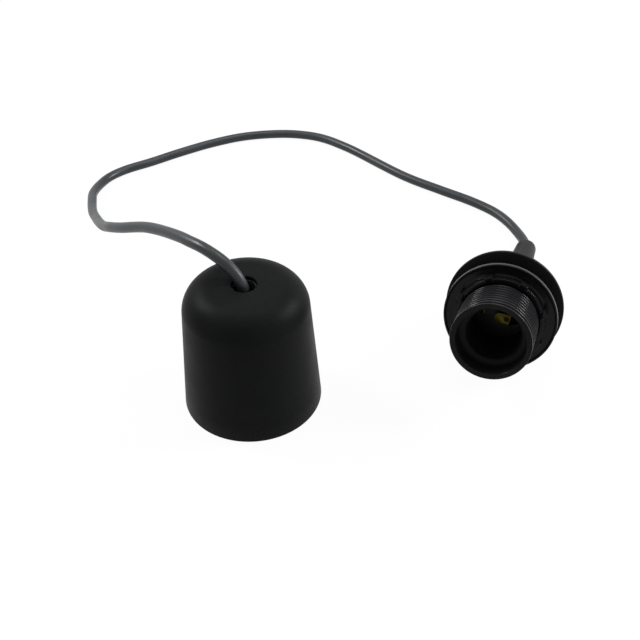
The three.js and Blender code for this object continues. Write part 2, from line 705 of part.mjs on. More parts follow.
// The cores in the holder, from the sheath's end to the terminals
for (const [pole, sign, material] of [['live', 1, brownCore()], ['neutral', -1, blueCore()]]) {
  const start = sheathEndInHolder + gap;
  const x = sign * terminalOffset;
  const route = [
    [sign * coreOffset, 0, start],
    [sign * coreOffset, 0, start + coreRadius],
    [(x + sign * coreOffset) / 2, 0, (start + contactDiscBottom) / 2 - coreRadius],
    [x, 0, contactDiscBottom - coreRadius],
    [x, 0, terminalLow],
    [x, 0, terminalMiddle],
  ];
  piece(contacts, `holder_core_${pole}`, tube(route, coreRadius, coreSides, coreSteps), material);
}

// The holder lies on the flange's far edge and on the round end of its sleeve
const rise = flangeRadius - (sleeveEndRadius - sleeveEndRound);
const run = flangeStation + flangeRound - sleeveEndRound;
const holderTilt = Math.atan2(rise, run) - Math.asin(sleeveEndRound / Math.hypot(rise, run));
contacts.rotation.z = -innerTurn;
holder.rotation.order = 'ZXY';
holder.rotation.set(Math.PI / 2 - holderTilt, 0, -holderTurn);
holder.updateMatrixWorld(true);
const lying = new THREE.Box3().setFromObject(holder, true);
holder.position.set(sleeveEndPlace[0], sleeveEndPlace[1], -lying.min.z);
holder.updateMatrixWorld(true);

// The set's origin is under the middle of the canopy and the holder
const rigid = new THREE.Box3().setFromObject(set, true);
const middle = rigid.getCenter(new THREE.Vector3());

// The cord runs from its end in the cup, along its route and into the sleeve
function onHolderAxis(station) {
  return new THREE.Vector3(0, 0, station).applyMatrix4(holder.matrixWorld).toArray();
}
const cordLine = [
  [0, 0, sheathEndHeight],
  [0, 0, jawBottom],
  [0, 0, jawTop - jawFlareHeight],
  ...cordRoute,
  onHolderAxis(0),
  onHolderAxis(sleeveFlareDepth),
  onHolderAxis(sleeveLength),
  onHolderAxis(sheathEndInHolder),
];
piece(set, 'cord', tube(cordLine, cordRadius, cordSides, cordSteps), sheathBlack());
set.position.set(-middle.x, -middle.y, 0);

export default set;
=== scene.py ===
import json
import math

import bmesh
import bpy
from mathutils import Matrix, Quaternion, Vector


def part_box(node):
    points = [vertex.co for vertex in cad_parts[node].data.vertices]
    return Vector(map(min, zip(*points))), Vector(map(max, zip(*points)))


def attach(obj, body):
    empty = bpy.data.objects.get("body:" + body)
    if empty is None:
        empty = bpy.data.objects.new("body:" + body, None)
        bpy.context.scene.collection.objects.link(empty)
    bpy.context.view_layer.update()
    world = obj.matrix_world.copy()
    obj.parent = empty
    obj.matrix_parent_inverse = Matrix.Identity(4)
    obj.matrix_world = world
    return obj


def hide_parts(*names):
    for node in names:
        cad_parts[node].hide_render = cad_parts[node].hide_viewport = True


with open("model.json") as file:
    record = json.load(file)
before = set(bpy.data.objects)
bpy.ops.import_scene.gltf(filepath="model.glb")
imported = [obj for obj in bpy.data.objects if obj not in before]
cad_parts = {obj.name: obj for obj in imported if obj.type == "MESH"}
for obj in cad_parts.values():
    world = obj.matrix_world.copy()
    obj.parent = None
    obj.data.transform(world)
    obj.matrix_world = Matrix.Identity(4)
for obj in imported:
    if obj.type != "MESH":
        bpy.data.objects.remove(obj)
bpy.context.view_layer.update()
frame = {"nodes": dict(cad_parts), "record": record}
mm = 0.001
mergeDistance = 0.002 * mm  # vertices closer than this are one vertex

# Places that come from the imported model: the canopy stands on its axis, the holder lies on its own
cupLow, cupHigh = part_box("canopy_cup")
canopyAxis = Vector(((cupLow.x + cupHigh.x) / 2, (cupLow.y + cupHigh.y) / 2, 0))
mounts = {mount["name"]: mount for mount in frame["record"]["mounts"]}
holder = {
    "length": 137.4 * mm,      # from the sleeve's end to the lamp's mouth
    "threadDepth": 9 * mm,     # the lamp_thread mount lies this far behind the mouth
}
holderAxis = Vector(mounts["lamp_thread"]["axis"]).normalized()
holderStart = (
    Vector(mounts["lamp_thread"]["pos_m"]) - holderAxis * (holder["length"] - holder["threadDepth"])
)
holderAcross = Vector((0, 0, 1)).cross(holderAxis).normalized()
holderPlace = Matrix.Translation(holderStart) @ Matrix(
    (holderAcross, holderAxis.cross(holderAcross), holderAxis)
).transposed().to_4x4()


# Small helpers for modelling
def clearSelection():
    if bpy.context.object and bpy.context.object.mode != "OBJECT":
        bpy.ops.object.mode_set(mode="OBJECT")
    bpy.ops.object.select_all(action="DESELECT")


def pick(piece):
    clearSelection()
    piece.select_set(True)
    bpy.context.view_layer.objects.active = piece


def arcOf(centre, radius, start, end, steps):
    # points of a profile on an arc, from one angle to another in degrees
    points = []
    for i in range(steps + 1):
        angle = math.radians(start + (end - start) * i / steps)
        points.append((centre[0] + radius * math.cos(angle), centre[1] + radius * math.sin(angle)))
    return points


def straight(start, end, steps):
    # points of a profile on a line, without the line's first point
    return [
        (start[0] + (end[0] - start[0]) * i / steps, start[1] + (end[1] - start[1]) * i / steps)
        for i in range(1, steps + 1)
    ]


def latheProfile(name, points, sides, firstAngle=0):
    # one vertex is extruded along a closed profile in mm, radius and height, and spun about Z
    clearSelection()
    bpy.ops.mesh.primitive_plane_add(size=mm)
    piece = bpy.context.object
    piece.name = name
    piece.data.name = name
    bpy.ops.object.mode_set(mode="EDIT")
    bpy.ops.mesh.select_all(action="SELECT")
    bpy.ops.mesh.merge(type="CENTER")
    bpy.ops.transform.translate(value=(points[0][0] * mm, 0, points[0][1] * mm))
    for before, after in zip(points, points[1:] + points[:1]):
        step = ((after[0] - before[0]) * mm, 0, (after[1] - before[1]) * mm)
        bpy.ops.mesh.extrude_vertices_move(TRANSFORM_OT_translate={"value": step})
    bpy.ops.mesh.select_all(action="SELECT")
    bpy.ops.mesh.remove_doubles(threshold=mergeDistance)
    bpy.ops.mesh.select_all(action="SELECT")
    if firstAngle:
        turn = -math.radians(firstAngle)
        bpy.ops.transform.rotate(value=turn, orient_axis="Z", center_override=(0, 0, 0))
    bpy.ops.mesh.spin(steps=sides, angle=2 * math.pi, center=(0, 0, 0), axis=(0, 0, 1))
    bpy.ops.mesh.select_all(action="SELECT")
    bpy.ops.mesh.remove_doubles(threshold=mergeDistance)
    bpy.ops.mesh.normals_make_consistent(inside=False)
    bpy.ops.object.mode_set(mode="OBJECT")
    return piece


def bevelEdges(piece, width, segments=2, angle=32):
    pick(piece)
    bevel = piece.modifiers.new("softEdges", "BEVEL")
    bevel.width = width * mm
    bevel.segments = segments
    bevel.limit_method = "ANGLE"
    bevel.angle_limit = math.radians(angle)
    bevel.use_clamp_overlap = True
    bpy.ops.object.modifier_apply(modifier=bevel.name)


def smoothShade(piece, angle=35):
    pick(piece)
    bpy.ops.object.shade_smooth_by_angle(angle=math.radians(angle))


def windThread(piece, thread):
    # moves the vertices of a plain tube so that a right-handed thread winds round it and fades out
    # at both ends. crest is the flat share of the pitch, and hollow bends the flanks
    low, high = thread["low"] * mm, thread["high"] * mm
    pitch, depth, fade = thread["pitch"] * mm, thread["depth"] * mm, thread["fade"] * mm
    plain = thread["radius"] * mm
    for vertex in piece.data.vertices:
        x, y, z = vertex.co
        radius = math.hypot(x, y)
        if abs(radius - plain) > 0.01 * mm or not low < z < high:
            continue
        turns = (z - low) / pitch - math.atan2(y, x) / (2 * math.pi)
        # 0 in the middle of the crest, 1 at the bottom of the groove
        aside = 2 * abs(turns - round(turns))
        groove = max(0, (aside - thread["crest"]) / (1 - thread["crest"])) ** thread["hollow"]
        ends = min(1, (z - low) / fade, (high - z) / fade)
        scale = (radius - depth * groove * ends) / radius
        vertex.co = (x * scale, y * scale, z)


def seat(piece, place):
    # puts a finished piece's place into its mesh, its object stays at the origin
    piece.data.transform(place)
    piece.matrix_world = Matrix.Identity(4)
    piece.data.update()


def show(piece, material, slot, *nodes):
    piece.data.materials.clear()
    piece.data.materials.append(material)
    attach(piece, "root")
    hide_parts(*nodes)


# Camera: where the photograph was taken from
photoCamera = {
    "lens": 56.25,                   # mm, on a sensor 36 mm wide
    "sensor": 36,
    "target": (0.035318, 0.056556),  # metres from the canopy's axis, the floor point it looks at
    "distance": 0.5605,
    "elevation": 40.107,             # degrees
    "roll": 1.539,
}


def addCamera():
    elevation = math.radians(photoCamera["elevation"])
    back = Vector((0, -math.cos(elevation), math.sin(elevation)))
    target = canopyAxis + Vector((*photoCamera["target"], 0))
    clearSelection()
    bpy.ops.object.camera_add(location=target + back * photoCamera["distance"])
    camera = bpy.context.object
    camera.name = "photoCamera"
    roll = Quaternion((0, 0, 1), -math.radians(photoCamera["roll"]))
    camera.rotation_euler = (back.to_track_quat("Z", "Y") @ roll).to_euler()
    camera.data.sensor_fit = "HORIZONTAL"
    camera.data.sensor_width = photoCamera["sensor"]
    camera.data.lens = photoCamera["lens"]
    camera.data.clip_start = 0.01
    bpy.context.scene.camera = camera


addCamera()
print("camera stands")

# Cord: its middle line in metres from the canopy's axis, from the clamp to the sleeve
cord = {
    "diameter": 0.0058,
    "length": 0.7186,
    "insideCup": [(0, 0, 0.046), (0, 0, 0.0583), (0, 0, 0.0626)],
    "route": [
        (-0.0007, 0.0006, 0.0684), (-0.0029, 0.0021, 0.0733), (-0.0065, 0.0046, 0.0772),
        (-0.0105, 0.0075, 0.0799), (-0.0189, 0.0144, 0.0819), (-0.0266, 0.0223, 0.0807),
        (-0.0331, 0.0307, 0.078), (-0.0521, 0.0549, 0.0669), (-0.0722, 0.0774, 0.0518),
        (-0.081, 0.0902, 0.0437), (-0.0877, 0.1043, 0.035), (-0.099, 0.1357, 0.0188),
        (-0.105, 0.1528, 0.0128), (-0.109, 0.1713, 0.0085), (-0.1107, 0.184, 0.0061),
        (-0.109, 0.1968, 0.004), (-0.1038, 0.2085, 0.0031), (-0.0945, 0.2172, 0.003),
        (-0.0783, 0.2264, 0.003), (-0.058, 0.2389, 0.003), (-0.0376, 0.2498, 0.003),
        (-0.0162, 0.2578, 0.003), (0.0062, 0.2605, 0.003), (0.0229, 0.2591, 0.003),
        (0.039, 0.2535, 0.003), (0.0566, 0.2398, 0.003), (0.095, 0.1989, 0.003),
        (0.1172, 0.181, 0.003), (0.1354, 0.1668, 0.003), (0.1477, 0.1542, 0.003),
        (0.1538, 0.1439, 0.003), (0.1579, 0.1328, 0.0031), (0.1602, 0.1209, 0.0041),
    ],
    "insideSleeve": [0, 0.008, 0.034, 0.0789],    # stations on the holder's axis
    "smoothness": 7,
}


def addCord():
    points = [canopyAxis + Vector(point) for point in cord["insideCup"] + cord["route"]]
    points += [holderStart + holderAxis * station for station in cord["insideSleeve"]]
    clearSelection()
    bpy.ops.curve.primitive_bezier_curve_add()
    piece = bpy.context.object
    piece.name = "cordSheath"
    curve = piece.data
    spline = curve.splines[0]
    spline.bezier_points.add(len(points) - len(spline.bezier_points))
    padded = [2 * points[0] - points[1], *points, 2 * points[-1] - points[-2]]
    times = [math.sqrt((after - before).length) for before, after in zip(padded, padded[1:])]
    for i, bend in enumerate(spline.bezier_points):
        into = (padded[i + 1] - padded[i]) / times[i]
        out = (padded[i + 2] - padded[i + 1]) / times[i + 1]
        speed = (into * times[i + 1] + out * times[i]) / (times[i] + times[i + 1])
        bend.handle_left_type = bend.handle_right_type = "FREE"
        bend.co = points[i]
        bend.handle_left = points[i] - speed * times[i] / 3
        bend.handle_right = points[i] + speed * times[i + 1] / 3
        bend.radius = 1
    curve.dimensions = "3D"
    curve.resolution_u = 12
    curve.bevel_depth = cord["diameter"] / 2
    curve.bevel_resolution = cord["smoothness"]
    curve.use_fill_caps = True
    piece.matrix_world = Matrix.Identity(4)
    return piece


cordPiece = addCord()
print("cord lies")


# Shader node groups: grain of a moulded surface, and slow patches of gloss and tone
def newGroup(name, inputs, outputs):
    group = bpy.data.node_groups.new(name, "ShaderNodeTree")
    for socket, kind, value in inputs:
        made = group.interface.new_socket(socket, in_out="INPUT", socket_type=kind)
        if value is not None:
            made.default_value = value
    for socket, kind in outputs:
        group.interface.new_socket(socket, in_out="OUTPUT", socket_type=kind)
    start = group.nodes.new("NodeGroupInput")
    end = group.nodes.new("NodeGroupOutput")
    start.location = (-900, 0)
    end.location = (500, 0)
    return group, start, end


def addMath(tree, operation, first, second, place):
    node = tree.nodes.new("ShaderNodeMath")
    node.operation = operation
    node.location = place
    for socket, value in zip(node.inputs, (first, second)):
        if isinstance(value, (int, float)):
            socket.default_value = value
        else:
            tree.links.new(value, socket)
    return node.outputs[0]


def mouldGrainGroup():
    group, start, end = newGroup(
        "mouldGrain",
        [("Coordinates", "NodeSocketVector", None), ("Grains per metre", "NodeSocketFloat", 3000),
         ("Coarse share", "NodeSocketFloat", 0.4)],
        [("Height", "NodeSocketFloat"), ("Specks", "NodeSocketFloat")],
    )
    fine = group.nodes.new("ShaderNodeTexNoise")
    fine.inputs["Detail"].default_value = 2
    fine.location = (-500, 200)
    coarse = group.nodes.new("ShaderNodeTexVoronoi")
    coarse.feature = "SMOOTH_F1"
    coarse.location = (-500, -200)
    for node in (fine, coarse):
        group.links.new(start.outputs["Coordinates"], node.inputs["Vector"])
    group.links.new(start.outputs["Grains per metre"], fine.inputs["Scale"])
    wider = addMath(group, "MULTIPLY", start.outputs["Grains per metre"], 0.45, (-700, -300))
    group.links.new(wider, coarse.inputs["Scale"])
    pits = addMath(
        group, "MULTIPLY", coarse.outputs["Distance"], start.outputs["Coarse share"], (-250, -200),
    )
    height = addMath(group, "ADD", fine.outputs["Fac"], pits, (0, 100))
    group.links.new(height, end.inputs["Height"])
    specks = group.nodes.new("ShaderNodeMapRange")
    specks.inputs["From Min"].default_value = 0.52
    specks.inputs["From Max"].default_value = 0.72
    specks.location = (0, -200)
    group.links.new(fine.outputs["Fac"], specks.inputs["Value"])
    group.links.new(specks.outputs["Result"], end.inputs["Specks"])
    return group


def slowPatchesGroup():
    group, start, end = newGroup(
        "slowPatches",
        [("Coordinates", "NodeSocketVector", None), ("Patches per metre", "NodeSocketFloat", 60)],
        [("Mask", "NodeSocketFloat")],
    )
    noise = group.nodes.new("ShaderNodeTexNoise")
    noise.inputs["Detail"].default_value = 4
    noise.inputs["Roughness"].default_value = 0.6
    noise.location = (-500, 0)
    group.links.new(start.outputs["Coordinates"], noise.inputs["Vector"])
    group.links.new(start.outputs["Patches per metre"], noise.inputs["Scale"])
    spread = group.nodes.new("ShaderNodeMapRange")
    spread.inputs["From Min"].default_value = 0.35
    spread.inputs["From Max"].default_value = 0.65
    spread.location = (-200, 0)
    group.links.new(noise.outputs["Fac"], spread.inputs["Value"])
    group.links.new(spread.outputs["Result"], end.inputs["Mask"])
    return group


mouldGrain = mouldGrainGroup()
slowPatches = slowPatchesGroup()


def newFinish(name, look):
    # every finish: two tones mixed by grain and patches, roughness between two values, a fine bump
    material = bpy.data.materials.new(name)
    material.use_nodes = True
    tree = material.node_tree
    shader = tree.nodes["Principled BSDF"]
    place = tree.nodes.new("ShaderNodeTexCoord")
    place.location = (-1200, 0)
    grain = tree.nodes.new("ShaderNodeGroup")
    grain.node_tree = mouldGrain
    grain.inputs["Grains per metre"].default_value = look["grains"]
    grain.inputs["Coarse share"].default_value = look["coarse"]
    grain.location = (-900, 150)
    patches = tree.nodes.new("ShaderNodeGroup")
    patches.node_tree = slowPatches
    patches.inputs["Patches per metre"].default_value = look["patches"]
    patches.location = (-900, -150)
    for node in (grain, patches):
        tree.links.new(place.outputs["Object"], node.inputs["Coordinates"])
    blend = addMath(tree, "MULTIPLY", grain.outputs["Specks"], look["speckShare"], (-650, 150))
    cloud = addMath(tree, "MULTIPLY", patches.outputs["Mask"], look["patchShare"], (-650, -50))
    blend = addMath(tree, "ADD", blend, cloud, (-450, 100))
    tone = tree.nodes.new("ShaderNodeMix")
    tone.data_type = "RGBA"
    tone.inputs["A"].default_value = (*look["colour"], 1)
    tone.inputs["B"].default_value = (*look["secondColour"], 1)
    tone.location = (-250, 250)
    tree.links.new(blend, tone.inputs["Factor"])
    tree.links.new(tone.outputs["Result"], shader.inputs["Base Color"])
    gloss = tree.nodes.new("ShaderNodeMapRange")
    gloss.inputs["To Min"].default_value = look["roughness"][0]
    gloss.inputs["To Max"].default_value = look["roughness"][1]
    gloss.location = (-450, -200)
    tree.links.new(patches.outputs["Mask"], gloss.inputs["Value"])
    tree.links.new(gloss.outputs["Result"], shader.inputs["Roughness"])
    bump = tree.nodes.new("ShaderNodeBump")
    bump.inputs["Strength"].default_value = look["bump"]
    bump.inputs["Distance"].default_value = look["bumpDepth"] * mm
    bump.location = (-250, -400)
    tree.links.new(grain.outputs["Height"], bump.inputs["Height"])
    tree.links.new(bump.outputs["Normal"], shader.inputs["Normal"])
    shader.inputs["Metallic"].default_value = look.get("metallic", 0)
    shader.inputs["Specular IOR Level"].default_value = look.get("specular", 0.5)
    shader.inputs["Coat Weight"].default_value = look.get("coat", 0)
    shader.inputs["Coat Roughness"].default_value = look.get("coatRoughness", 0.1)
    return material


def cupPlasticFinish():
    return newFinish("cupPlastic", {
        "colour": (0.0046, 0.005, 0.0049), "secondColour": (0.0092, 0.0099, 0.0094),
        "grains": 2600, "coarse": 0.5, "patches": 55, "speckShare": 0.5, "patchShare": 0.25,
        "roughness": (0.4, 0.48), "bump": 0.8, "bumpDepth": 0.09, "specular": 0.035,
    })


def holderPlasticFinish():
    return newFinish("holderPlastic", {
        "colour": (0.0046, 0.0043, 0.0054), "secondColour": (0.0066, 0.0062, 0.0076),
        "grains": 900, "coarse": 0.2, "patches": 90, "speckShare": 0.15, "patchShare": 0.4,
        "roughness": (0.14, 0.2), "bump": 0.03, "bumpDepth": 0.02, "specular": 0.12,
    })


# a lighter, matter copy of the holder plastic: the matt finish is real, the lighter colour is
# painted light on the holder cap, the barrel's bore and the barrel's front face
def paintedLightHolderFinish():
    return newFinish("paintedLightHolderPlastic", {
        "colour": (0.0078, 0.0078, 0.0086), "secondColour": (0.0112, 0.0112, 0.012),
        "grains": 1500, "coarse": 0.4, "patches": 70, "speckShare": 0.25, "patchShare": 0.4,
        "roughness": (0.4, 0.48), "bump": 0.25, "bumpDepth": 0.05, "specular": 0.05,
    })


def clampPlasticFinish():
    return newFinish("clampPlastic", {
        "colour": (0.003, 0.003, 0.0033), "secondColour": (0.007, 0.007, 0.0075),
        "grains": 1800, "coarse": 0.3, "patches": 120, "speckShare": 0.2, "patchShare": 0.4,
        "roughness": (0.3, 0.42), "bump": 0.2, "bumpDepth": 0.04, "specular": 0.3,
    })


def contactPlasticFinish():
    return newFinish("contactPlastic", {
        "colour": (0.004, 0.004, 0.005), "secondColour": (0.009, 0.009, 0.01),
        "grains": 1500, "coarse": 0.4, "patches": 100, "speckShare": 0.3, "patchShare": 0.4,
        "roughness": (0.4, 0.55), "bump": 0.25, "bumpDepth": 0.05, "specular": 0.25,
    })


def palePlasticFinish():
    return newFinish("palePlastic", {
        "colour": (0.74, 0.71, 0.64), "secondColour": (0.82, 0.8, 0.74),
        "grains": 1200, "coarse": 0.3, "patches": 80, "speckShare": 0.2, "patchShare": 0.6,
        "roughness": (0.38, 0.5), "bump": 0.15, "bumpDepth": 0.05,
    })


def sheathFinish():
    return newFinish("sheathPlastic", {
        "colour": (0.010, 0.0125, 0.0145), "secondColour": (0.022, 0.026, 0.029),
        "grains": 700, "coarse": 0.2, "patches": 45, "speckShare": 0.2, "patchShare": 0.6,
        "roughness": (0.32, 0.46), "bump": 0.25, "bumpDepth": 0.08, "specular": 0.35,
    })


def coreFinish(name, colour, secondColour):
    return newFinish(name, {
        "colour": colour, "secondColour": secondColour,
        "grains": 900, "coarse": 0.2, "patches": 70, "speckShare": 0.1, "patchShare": 0.5,
        "roughness": (0.35, 0.45), "bump": 0.1, "bumpDepth": 0.04,
    })


# brass darkened far below the terminal brass: painted shade for the contact tongues deep in the
# lamp's bore
def paintedShadeBrassFinish():
    return newFinish("paintedShadeBrass", {
        "colour": (0.06, 0.052, 0.008), "secondColour": (0.035, 0.03, 0.005),
        "grains": 1600, "coarse": 0.3, "patches": 180, "speckShare": 0.25, "patchShare": 0.6,
        "roughness": (0.38, 0.52), "bump": 0.2, "bumpDepth": 0.03, "metallic": 1,
    })


def terminalBrassFinish():
    return newFinish("terminalBrass", {
        "colour": (0.44, 0.29, 0.07), "secondColour": (0.26, 0.17, 0.05),
        "grains": 1600, "coarse": 0.3, "patches": 180, "speckShare": 0.25, "patchShare": 0.6,
        "roughness": (0.3, 0.5), "bump": 0.2, "bumpDepth": 0.03, "metallic": 1,
    })


def zincSteelFinish():
    return newFinish("zincSteel", {
        "colour": (0.42, 0.43, 0.44), "secondColour": (0.3, 0.31, 0.32),
        "grains": 1400, "coarse": 0.5, "patches": 150, "speckShare": 0.3, "patchShare": 0.5,
        "roughness": (0.28, 0.45), "bump": 0.2, "bumpDepth": 0.03, "metallic": 1,
    })


cupPlastic = cupPlasticFinish()
holderPlastic = holderPlasticFinish()
paintedLightHolderPlastic = paintedLightHolderFinish()
clampPlastic = clampPlasticFinish()
contactPlastic = contactPlasticFinish()
palePlastic = palePlasticFinish()
sheathPlastic = sheathFinish()
paintedShadeBrass = paintedShadeBrassFinish()
terminalBrass = terminalBrassFinish()
zincSteel = zincSteelFinish()
brownCore = coreFinish("brownCore", (0.08, 0.03, 0.012), (0.11, 0.045, 0.02))
blueCore = coreFinish("blueCore", (0.015, 0.08, 0.3), (0.022, 0.11, 0.38))
print("finishes mixed")

show(cordPiece, sheathPlastic, "cord_sheath", "cord")

# Canopy cup: drafted wall, round shoulder, hole in the top, all sizes in mm
cup = {
    "height": 71,
    "mouthRadius": 35,
    "draft": 4,              # degrees
    "shoulderRadius": 14.5,
    "wall": 2.2,
    "holeRadius": 6.25,
    "holeEdge": 0.4,
    "footEdge": 0.35,
    "sides": 160,
}


def buildCup():
    draft = math.radians(cup["draft"])
    shoulderHeight = cup["height"] - cup["shoulderRadius"]
    tangentHeight = shoulderHeight + cup["shoulderRadius"] * math.sin(draft)
    tangentRadius = cup["mouthRadius"] - tangentHeight * math.tan(draft)
    centre = (tangentRadius - cup["shoulderRadius"] * math.cos(draft), shoulderHeight)
    outside = arcOf(centre, cup["shoulderRadius"], cup["draft"], 90, 24)
    inside = arcOf(centre, cup["shoulderRadius"] - cup["wall"], 90, cup["draft"], 16)
    foot = cup["footEdge"]
    hole, edge = cup["holeRadius"], cup["holeEdge"]
    topEdge = arcOf((hole + edge, cup["height"] - edge), edge, 90, 180, 4)
    innerFoot = cup["mouthRadius"] - cup["wall"] / math.cos(draft)
    points = [(cup["mouthRadius"] - foot, 0), (cup["mouthRadius"] - foot * 0.3, foot * 0.3)]
    points += [(cup["mouthRadius"] - foot * math.tan(draft), foot)]
    points += straight(points[-1], outside[0], 6) + outside[1:]
    points += straight(points[-1], topEdge[0], 3) + topEdge[1:]
    points += [(hole, cup["height"] - cup["wall"])]
    points += inside
    points += straight(inside[-1], (innerFoot, foot), 6) + [(innerFoot + foot, 0)]
    piece = latheProfile("canopyCup", points, cup["sides"])
    smoothShade(piece, 40)
    seat(piece, Matrix.Translation(canopyAxis))
    return piece


cupPiece = buildCup()
show(cupPiece, cupPlastic, "cup_plastic", "canopy_cup")
print("canopy turned")

# Holder cap: cord sleeve, bell and flange, stations along the holder's axis in mm
cap = {
    "endRadius": 5.95, "endRound": 2.4, "sleeveLength": 34, "baseRadius": 7.1,
    "bore": 3.2, "flare": 1, "flareDepth": 8,
    "bellRadius": 22.3, "bellWall": 1.8, "bellTop": 78, "bellBulge": 0.6,
    "cavityRadius": 14.5, "cavityFloor": 71.1, "cavityTaper": 0.75, "throat": 48.6, "ledge": 81.1,
    "barrelHole": 20.35,
    "flangeStation": 90.35, "flangeRadius": 30.35, "flangeThickness": 2.2, "flangeRound": 0.5,
    "sides": 144,
}


def bezierPoints(first, second, third, fourth, steps):
    points = []
    for i in range(1, steps + 1):
        t = i / steps
        weights = ((1 - t) ** 3, 3 * t * (1 - t) ** 2, 3 * t * t * (1 - t), t ** 3)
        corners = (first, second, third, fourth)
        points.append(tuple(sum(w * c[axis] for w, c in zip(weights, corners)) for axis in (0, 1)))
    return points


def buildCap():
    rise = cap["bellTop"] - cap["sleeveLength"]
    base = (cap["baseRadius"], cap["sleeveLength"])
    belly = (cap["baseRadius"] + cap["bellWall"], cap["sleeveLength"] + rise / 2)
    shoulder = (cap["bellRadius"], cap["sleeveLength"] + rise * cap["bellBulge"])
    edge = cap["flangeRound"]
    front = cap["flangeStation"] + cap["flangeThickness"]
    rim = cap["flangeRadius"] - edge
    tip = (cap["endRadius"] - cap["endRound"], cap["endRound"])
    mouth = math.degrees(math.acos((cap["bore"] + cap["flare"] - tip[0]) / cap["endRound"]))
    points = arcOf(tip, cap["endRound"], -mouth, 0, 8)
    points += straight(points[-1], base, 5)
    points += bezierPoints(base, belly, shoulder, (cap["bellRadius"], cap["bellTop"]), 22)
    points += [(cap["bellRadius"], cap["flangeStation"] - edge)]
    points += arcOf((cap["bellRadius"] + edge, cap["flangeStation"] - edge), edge, 180, 90, 4)[1:]
    points += arcOf((rim, cap["flangeStation"] + edge), edge, -90, 0, 4)
    points += arcOf((rim, front - edge), edge, 0, 90, 4)
    points += [(cap["barrelHole"], front), (cap["barrelHole"], cap["ledge"])]
    points += [(cap["cavityRadius"], cap["ledge"]), (cap["cavityRadius"], cap["cavityFloor"])]
    middle = (cap["cavityRadius"] + cap["bore"]) / 2
    points += [(middle, cap["cavityFloor"] - cap["cavityRadius"] * cap["cavityTaper"])]
    points += [(cap["bore"], cap["throat"]), (cap["bore"], cap["flareDepth"])]
    piece = latheProfile("holderCap", points, cap["sides"])
    smoothShade(piece, 35)
    seat(piece, holderPlace)
    return piece


capPiece = buildCap()
# the cap gets the lighter copy of the holder plastic: painted light
show(capPiece, paintedLightHolderPlastic, "holder_plastic", "holder_cap")
print("holder cap turned")

# Holder barrel: the shade ring's thread outside, the lamp's thread on its inner tube
barrel = {
    "radius": 20.05, "bore": 17.3, "end": 81.4, "front": 137.4, "rimRound": 0.45,
    "tubeRadius": 13.35, "tubeWall": 1.75, "webTop": 128.4, "webThickness": 2.1, "tubeEnd": 101.4,
    "tubeEdge": 1.1, "mattPaintedLightReach": 0.1, "sides": 144,
}
outerThread = {
    "radius": 20.05, "low": 93.65, "high": 135.2, "pitch": 3, "depth": 1.25,
    "crest": 0.3, "hollow": 1.1, "fade": 0.8, "ringsPerTurn": 16,
}
lampThread = {
    "radius": 13.35, "low": 101.6, "high": 127.2, "pitch": 3.63, "depth": -0.85,
    "crest": 0.1, "hollow": 1.5, "fade": 1.6, "ringsPerTurn": 12,
}


def ringsOf(thread):
    return round((thread["high"] - thread["low"]) / thread["pitch"] * thread["ringsPerTurn"])


def buildBarrel():
    outside, bore = barrel["radius"], barrel["bore"]
    front, edge = barrel["front"], barrel["rimRound"]
    tube, tubeOutside = barrel["tubeRadius"], barrel["tubeRadius"] + barrel["tubeWall"]
    webTop, webBottom = barrel["webTop"], barrel["webTop"] - barrel["webThickness"]
    points = [(bore, barrel["end"]), (outside, barrel["end"]), (outside, outerThread["low"])]
    points += straight(points[-1], (outside, outerThread["high"]), ringsOf(outerThread))
    points += arcOf((outside - edge, front - edge), edge, 0, 90, 5)
    points += arcOf((bore + edge, front - edge), edge, 90, 180, 5)
    points += [(bore, webTop), (tube + barrel["tubeEdge"], webTop)]
    points += straight(points[-1], (tube, webTop - barrel["tubeEdge"]), 3)
    points += [(tube, lampThread["high"])]
    points += straight(points[-1], (tube, lampThread["low"]), ringsOf(lampThread))
    points += [(tube, barrel["tubeEnd"]), (tubeOutside, barrel["tubeEnd"])]
    points += [(tubeOutside, webBottom), (bore, webBottom)]
    piece = latheProfile("holderBarrel", points, barrel["sides"])
    windThread(piece, outerThread)
    windThread(piece, lampThread)
    smoothShade(piece, 60)
    # faces in the bore and on the front face are collected for the lighter, matt copy of the
    # plastic, which paints light there
    near = barrel["mattPaintedLightReach"]
    mattPaintedLight = []
    for face in piece.data.polygons:
        middle = face.center / mm
        if math.hypot(middle.x, middle.y) < bore + near or middle.z > front - near:
            mattPaintedLight.append(face.index)
    seat(piece, holderPlace)
    return piece, mattPaintedLight


barrelPiece, mattPaintedLightFaces = buildBarrel()
show(barrelPiece, holderPlastic, "holder_plastic", "holder_barrel")
barrelPiece.data.materials.append(paintedLightHolderPlastic)
for face in mattPaintedLightFaces:
    barrelPiece.data.polygons[face].material_index = 1  # the bore and the front face are matt, and the lighter copy of the plastic paints light into them
print("barrel threaded")

# Shade ring: a rimmed, dished disc whose hub carries eight grip lugs
ring = {
    "bore": 20.35, "radius": 28.8, "back": 104.95, "front": 107.45, "lip": 1, "web": 1.6,
    "hubRadius": 22.7, "hubFront": 111.45, "hubRing": 0.45, "fillet": 0.6, "lugs": 8,
    "firstLug": 20, "lugSteps": 4, "lugReach": 1.3, "lugRise": 1, "lugInset": 0.5, "near": 0.05,
    "sides": 144,
}


def facesWhere(piece, wanted):
    # enters edit mode with only the faces selected whose middle, in mm, passes the test
    pick(piece)
    bpy.ops.object.mode_set(mode="EDIT")
    bpy.ops.mesh.select_mode(type="FACE")
    bpy.ops.mesh.select_all(action="DESELECT")
    mesh = bmesh.from_edit_mesh(piece.data)
    for face in mesh.faces:
        middle = face.calc_center_median() / mm
        radius, angle = math.hypot(middle.x, middle.y), math.atan2(middle.y, middle.x)
        face.select = wanted(radius, angle, middle.z)
    mesh.select_flush_mode()
    bmesh.update_edit_mesh(piece.data)


def atLug(angle):
    spacing = 360 / ring["lugs"]
    width = ring["lugSteps"] * 360 / ring["sides"]
    offset = (math.degrees(angle) - ring["firstLug"] + spacing / 2) % spacing - spacing / 2
    return abs(offset) < width / 2


